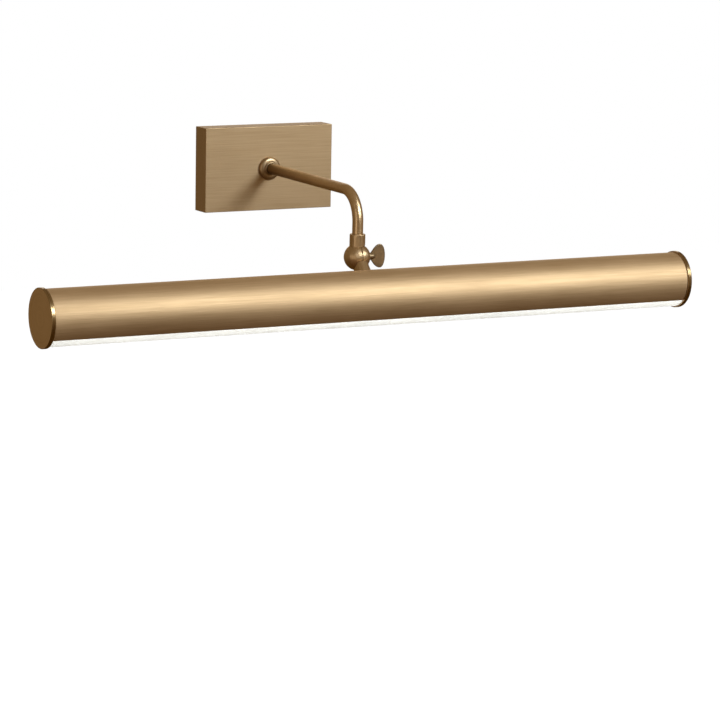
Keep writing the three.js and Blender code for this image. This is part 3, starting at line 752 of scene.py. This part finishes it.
def knuckle_lower():
    piece = casting(
        "knuckle_head_half", -PIVOT_FACET_X, -20 * MM, STEM_SOCKET_RADIUS, STEM_SOCKET_DEPTH,
    )
    cut(piece, rod(
        "saddle", TUBE_RADIUS + GAP, (-20 * MM, 0, STEM_LENGTH), (20 * MM, 0, STEM_LENGTH), 256,
    ))
    tilt = Matrix.Rotation(-HEAD_TILT, 4, "X") @ Matrix.Rotation(math.pi, 4, "Y")
    move(piece, Matrix.Translation(BALL) @ tilt)
    smooth(piece)
    dress(piece, neck_brass, "lamp_head", "knuckle_lower")


def washer():
    profile = [
        (2.65, 10.7), (3.85, 10.7), (4.0, 10.85), (4.0, 11.35), (3.85, 11.5), (2.65, 11.5),
        (2.65, 10.7),
    ]
    piece = clean(turned("clamp_ring", profile, 64))
    move(piece, Matrix.Translation(BALL) @ Matrix.Rotation(math.pi / 2, 4, "Y"))
    smooth(piece, angle=40)
    dress(piece, spade_brass, "clamp_washer", "clamp_washer")


def spade():
    """The thumbscrew's wing: a closed curve, filled and given thickness with round edges."""
    outline = [
        ((12.5, -2.4), (-1.2, 0), (1.6, 0)),
        ((22.4, -10.3), (-5.4, -0.2), (2.9, 0.2)),
        ((27.0, 0), (0, -5.4), (0, 5.4)),
        ((22.4, 10.3), (2.9, -0.2), (-5.4, 0.2)),
        ((12.5, 2.4), (1.6, 0), (-1.2, 0)),
    ]
    deselect()
    bpy.ops.curve.primitive_bezier_circle_add(radius=1)
    wing = bpy.context.object
    spline = wing.data.splines[0]
    spline.bezier_points.add(len(outline) - len(spline.bezier_points))
    for point, (place, before, after) in zip(spline.bezier_points, outline):
        point.handle_left_type = point.handle_right_type = "FREE"
        point.co = Vector((*place, 0)) * MM
        point.handle_left = point.co + Vector((*before, 0)) * MM
        point.handle_right = point.co + Vector((*after, 0)) * MM
    wing.data.dimensions = "2D"
    wing.data.fill_mode = "BOTH"
    wing.data.resolution_u = 20
    edge = 0.55 * MM
    wing.data.extrude = 1.1 * MM - edge
    wing.data.bevel_depth = edge
    wing.data.bevel_resolution = 4
    wing.data.offset = -edge
    bpy.ops.object.convert(target="MESH")
    wing = bpy.context.object
    wing.name = wing.data.name = "wing"
    move(wing, Matrix.Rotation(math.pi / 2, 4, "X"))
    return clean(wing)


def thumbscrew():
    shank = [
        (0.4, -7.6), (1.9, -7.6), (2.35, -7.1), (2.35, 11.8), (3.1, 11.8), (3.3, 12.0),
        (3.3, 12.5), (2.85, 12.9), (2.7, 13.6), (2.8, 14.6), (2.6, 15.8), (1.9, 16.8),
        (0.8, 17.3),
    ]
    piece = close_ends(turned("thumb_screw", shank, 64))
    move(piece, Matrix.Rotation(math.pi / 2, 4, "Y"))
    combine(piece, "UNION", spade())
    move(piece, Matrix.Translation(BALL) @ Matrix.Rotation(DROOP, 4, "X"))
    smooth(clean(piece), angle=35)
    dress(piece, spade_brass, "thumbscrew", "thumbscrew")


knuckle_upper()
knuckle_lower()
washer()
thumbscrew()


# ---- lamp head ----

def lamp_tube():
    tube = swept_sheet(
        "lamp_tube", TUBE_RADIUS, MOUTH_HALF_ANGLE, 2 * math.pi - MOUTH_HALF_ANGLE, TUBE_FACETS,
    )
    modify(tube, "SOLIDIFY", thickness=TUBE_WALL, offset=-1, use_even_offset=True)
    rounded_edges(tube, 0.25 * MM, segments=2, angle=50)
    smooth(clean(tube))
    dress(tube, tube_brass, "lamp_head", "head_tube")


def opal_strip():
    """A curved strip flush with the tube, with two ledges behind the tube's lips."""
    inner = TUBE_RADIUS - STRIP_WALL
    strip = swept_sheet(
        "opal_strip", inner, -STRIP_LEDGE_HALF_ANGLE, STRIP_LEDGE_HALF_ANGLE, STRIP_FACETS,
    )
    modify(strip, "SOLIDIFY", thickness=STRIP_WALL, offset=-1, use_even_offset=True)
    editing(strip)

    def outside_mouth(face):
        place = face.calc_center_median()
        out = (place - TUBE_CENTRE) * Vector((0, 1, 1))
        if out.length <= inner - 0.1 * MM:
            return False
        return abs(about_axis(place)) < STRIP_MOUTH_HALF_ANGLE

    pick(strip, "FACE", outside_mouth)
    bpy.ops.mesh.extrude_region_shrink_fatten(
        TRANSFORM_OT_shrink_fatten={"value": STRIP_WALL, "use_even_offset": True}
    )
    done_editing()
    rounded_edges(strip, 0.2 * MM, segments=2, angle=50)
    smooth(clean(strip))
    dress(strip, opal, "lamp_head", "diffuser")


def end_cap(side):
    """A disc with rounded rims, a spigot inside the tube and a boss for the carrier."""
    low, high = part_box("end_cap_right")
    radius, outer = (high.z - low.z) / 2 / MM, high.x / MM
    inner = TUBE_HIGH.x / MM + 0.3
    edge = 0.45
    profile = [(0.4, inner), (radius - edge, inner)]
    for turn in range(1, 5):
        turn *= math.pi / 8
        profile.append(
            (radius - edge + edge * math.sin(turn), inner + edge - edge * math.cos(turn))
        )
    for turn in range(0, 5):
        turn *= math.pi / 8
        profile.append(
            (radius - edge + edge * math.cos(turn), outer - edge + edge * math.sin(turn))
        )
    disc = close_ends(turned("end_disc_" + side, profile + [(0.4, outer)], 192))
    bore, spigot_radius = 21.1, 22.7
    spigot = clean(turned("spigot", [
        (bore, inner - 9), (spigot_radius, inner - 9), (spigot_radius, inner + 1),
        (bore, inner + 1), (bore, inner - 9),
    ], 128))
    along_x = Matrix.Translation(TUBE_CENTRE) @ Matrix.Rotation(math.pi / 2, 4, "Y")
    move(disc, along_x)
    move(spigot, along_x)
    x, y, z = TUBE_CENTRE
    far = TUBE_HIGH.x + 9 * MM
    cut(spigot, block("mouth", (0.2, y - 0.03, z - 0.03), (far, y + 0.03, z - 12 * MM)))
    boss_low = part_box("led_carrier")[1].z + GAP
    boss_start = TUBE_HIGH.x - 12 * MM
    boss = block(
        "boss", (boss_start, y - 6 * MM, boss_low),
        ((inner + 1) * MM, y + 6 * MM, boss_low + 7 * MM),
    )
    rounded_edges(boss, 0.4 * MM)
    screw_low, screw_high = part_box("carrier_screw_right")
    screw_x = (screw_low.x + screw_high.x) / 2
    combine(disc, "UNION", spigot, boss)
    hole_top = screw_high.z + 0.6 * MM
    cut(disc, rod("hole", 1.8 * MM, (screw_x, y, boss_low - MM), (screw_x, y, hole_top), 32))
    if side == "left":
        move(disc, turn_about(math.pi, "Z", TUBE_CENTRE))
    smooth(clean(disc))
    dress(disc, disc_brass, "lamp_head", "end_cap_" + side)


lamp_tube()
opal_strip()
end_cap("left")
end_cap("right")


# ---- CAD nodes that stay, with their finishes ----

KEPT = {
    plate_brass: ["set_screw_top_left", "set_screw_top_right", "set_screw_bottom_left",
                  "set_screw_bottom_right"],
    zinc: ["mounting_plate", "arm_washer", "arm_locknut", "stem_nipple", "saddle_washer",
           "stem_locknut", "carrier_screw_left", "carrier_screw_right"],
    alloy: ["led_carrier"],
    green_zinc: ["ground_screw"],
    dark_case: ["led_driver", "lead_bush"],
    pale_case: ["supply_terminal", "lead_connector"],
    foam: ["driver_tape"],
    sleeve: ["arm_lead", "head_lead"],
    green_sleeve: ["ground_lead"],
    board: ["led_strip"],
}
for finish, names in KEPT.items():
    for name in names:
        node = frame["nodes"][name]
        node.data.materials.clear()
        node.data.materials.append(finish)


# ---- floor, light and camera ----

def floor():
    """A wide pale sheet, well below the lamp."""
    piece = start("floor", bpy.ops.mesh.primitive_plane_add, size=8, location=(0, 0, -0.75))
    finish = material("pale_floor")
    cloud = finish.noise(finish.place(), 2.0)
    tone = finish.fit(cloud, 0.3, 0.7, 0.9, 0.94)
    finish.surface(
        Base_Color=finish.node("CombineColor", {}, [tone, tone, tone]), Roughness=0.9,
        Emission_Color=rgb(1, 1, 1), Emission_Strength=0.12,
    )
    piece.data.materials.append(finish.owner)
    piece.visible_glossy = False


def lamp(name, direction, distance, width, height, power, colour):
    """A soft panel that shines on the object from a direction."""
    target = Vector((0, -0.15, -0.05))
    direction = Vector(direction).normalized()
    data = bpy.data.lights.new(name, "AREA")
    data.shape = "RECTANGLE"
    data.size, data.size_y = width, height
    data.energy = power
    data.color = colour
    panel = bpy.data.objects.new(name, data)
    panel.location = target + direction * distance
    panel.rotation_euler = direction.to_track_quat("Z", "Y").to_euler()
    bpy.context.scene.collection.objects.link(panel)


def compass(azimuth, elevation):
    """A direction by its angle from the front, to the right, and its height."""
    a, e = math.radians(azimuth), math.radians(elevation)
    return (math.sin(a) * math.cos(e), -math.cos(a) * math.cos(e), math.sin(e))


def world():
    """White to the eye and to matt surfaces; warm and dim, darker below, in metal."""
    finish = Finish(bpy.data.worlds.new("studio"))
    bpy.context.scene.world = finish.owner
    white = finish.node("Background", {}, {"Color": rgb(1, 1, 1), "Strength": 1.0})
    height = finish.split(finish.node("TexCoord", {}, [], output="Generated"))[2]
    room = finish.node("ValToRGB", {"stops": [
        (0.0, (0.1, 0.05, 0.008)), (0.3, (0.11, 0.058, 0.011)), (0.42, (0.215, 0.145, 0.062)),
        (0.75, (0.22, 0.155, 0.075)), (1.0, (0.27, 0.2, 0.11)),
    ]}, [height * 0.5 + 0.5])
    dim = finish.node("Background", {}, {"Color": room, "Strength": 1.0})
    ray = finish.node("LightPath", {}, [], output="Is Glossy Ray")
    both = finish.node("MixShader", {}, [ray, white, dim])
    finish.node("OutputWorld", {}, {"Surface": both})


def camera():
    """A long lens from the front left, a little above the lamp."""
    place = (-1.4074, -2.8675, 0.3632)
    yaw, pitch, roll = math.radians(27.851), math.radians(9.622), math.radians(0.976)
    data = bpy.data.cameras.new("camera")
    data.sensor_width = 36
    data.lens = 175.98
    data.clip_start, data.clip_end = 0.1, 50
    viewer = bpy.data.objects.new("camera", data)
    turn = (
        Matrix.Rotation(-yaw, 4, "Z") @ Matrix.Rotation(math.pi / 2 - pitch, 4, "X")
        @ Matrix.Rotation(roll, 4, "Z")
    )
    viewer.matrix_world = Matrix.Translation(place) @ turn
    bpy.context.scene.collection.objects.link(viewer)
    bpy.context.scene.camera = viewer


floor()
world()
lamp("key", compass(27.5, 29.5), 2.2, 0.72, 0.72, 42, (0.76, 0.88, 1.0))
lamp("strip_right", compass(48, 6), 2.4, 0.4, 1.9, 0.8, (0.94, 0.97, 1.0))
lamp("front_left", compass(-58, 0), 2.6, 0.7, 2.0, 7.5, (1.0, 0.97, 0.92))
lamp("back_right", compass(154, 14), 2.6, 1.5, 0.9, 4.5, (1.0, 0.97, 0.92))
camera()
bpy.context.scene.view_settings.view_transform = "Standard"
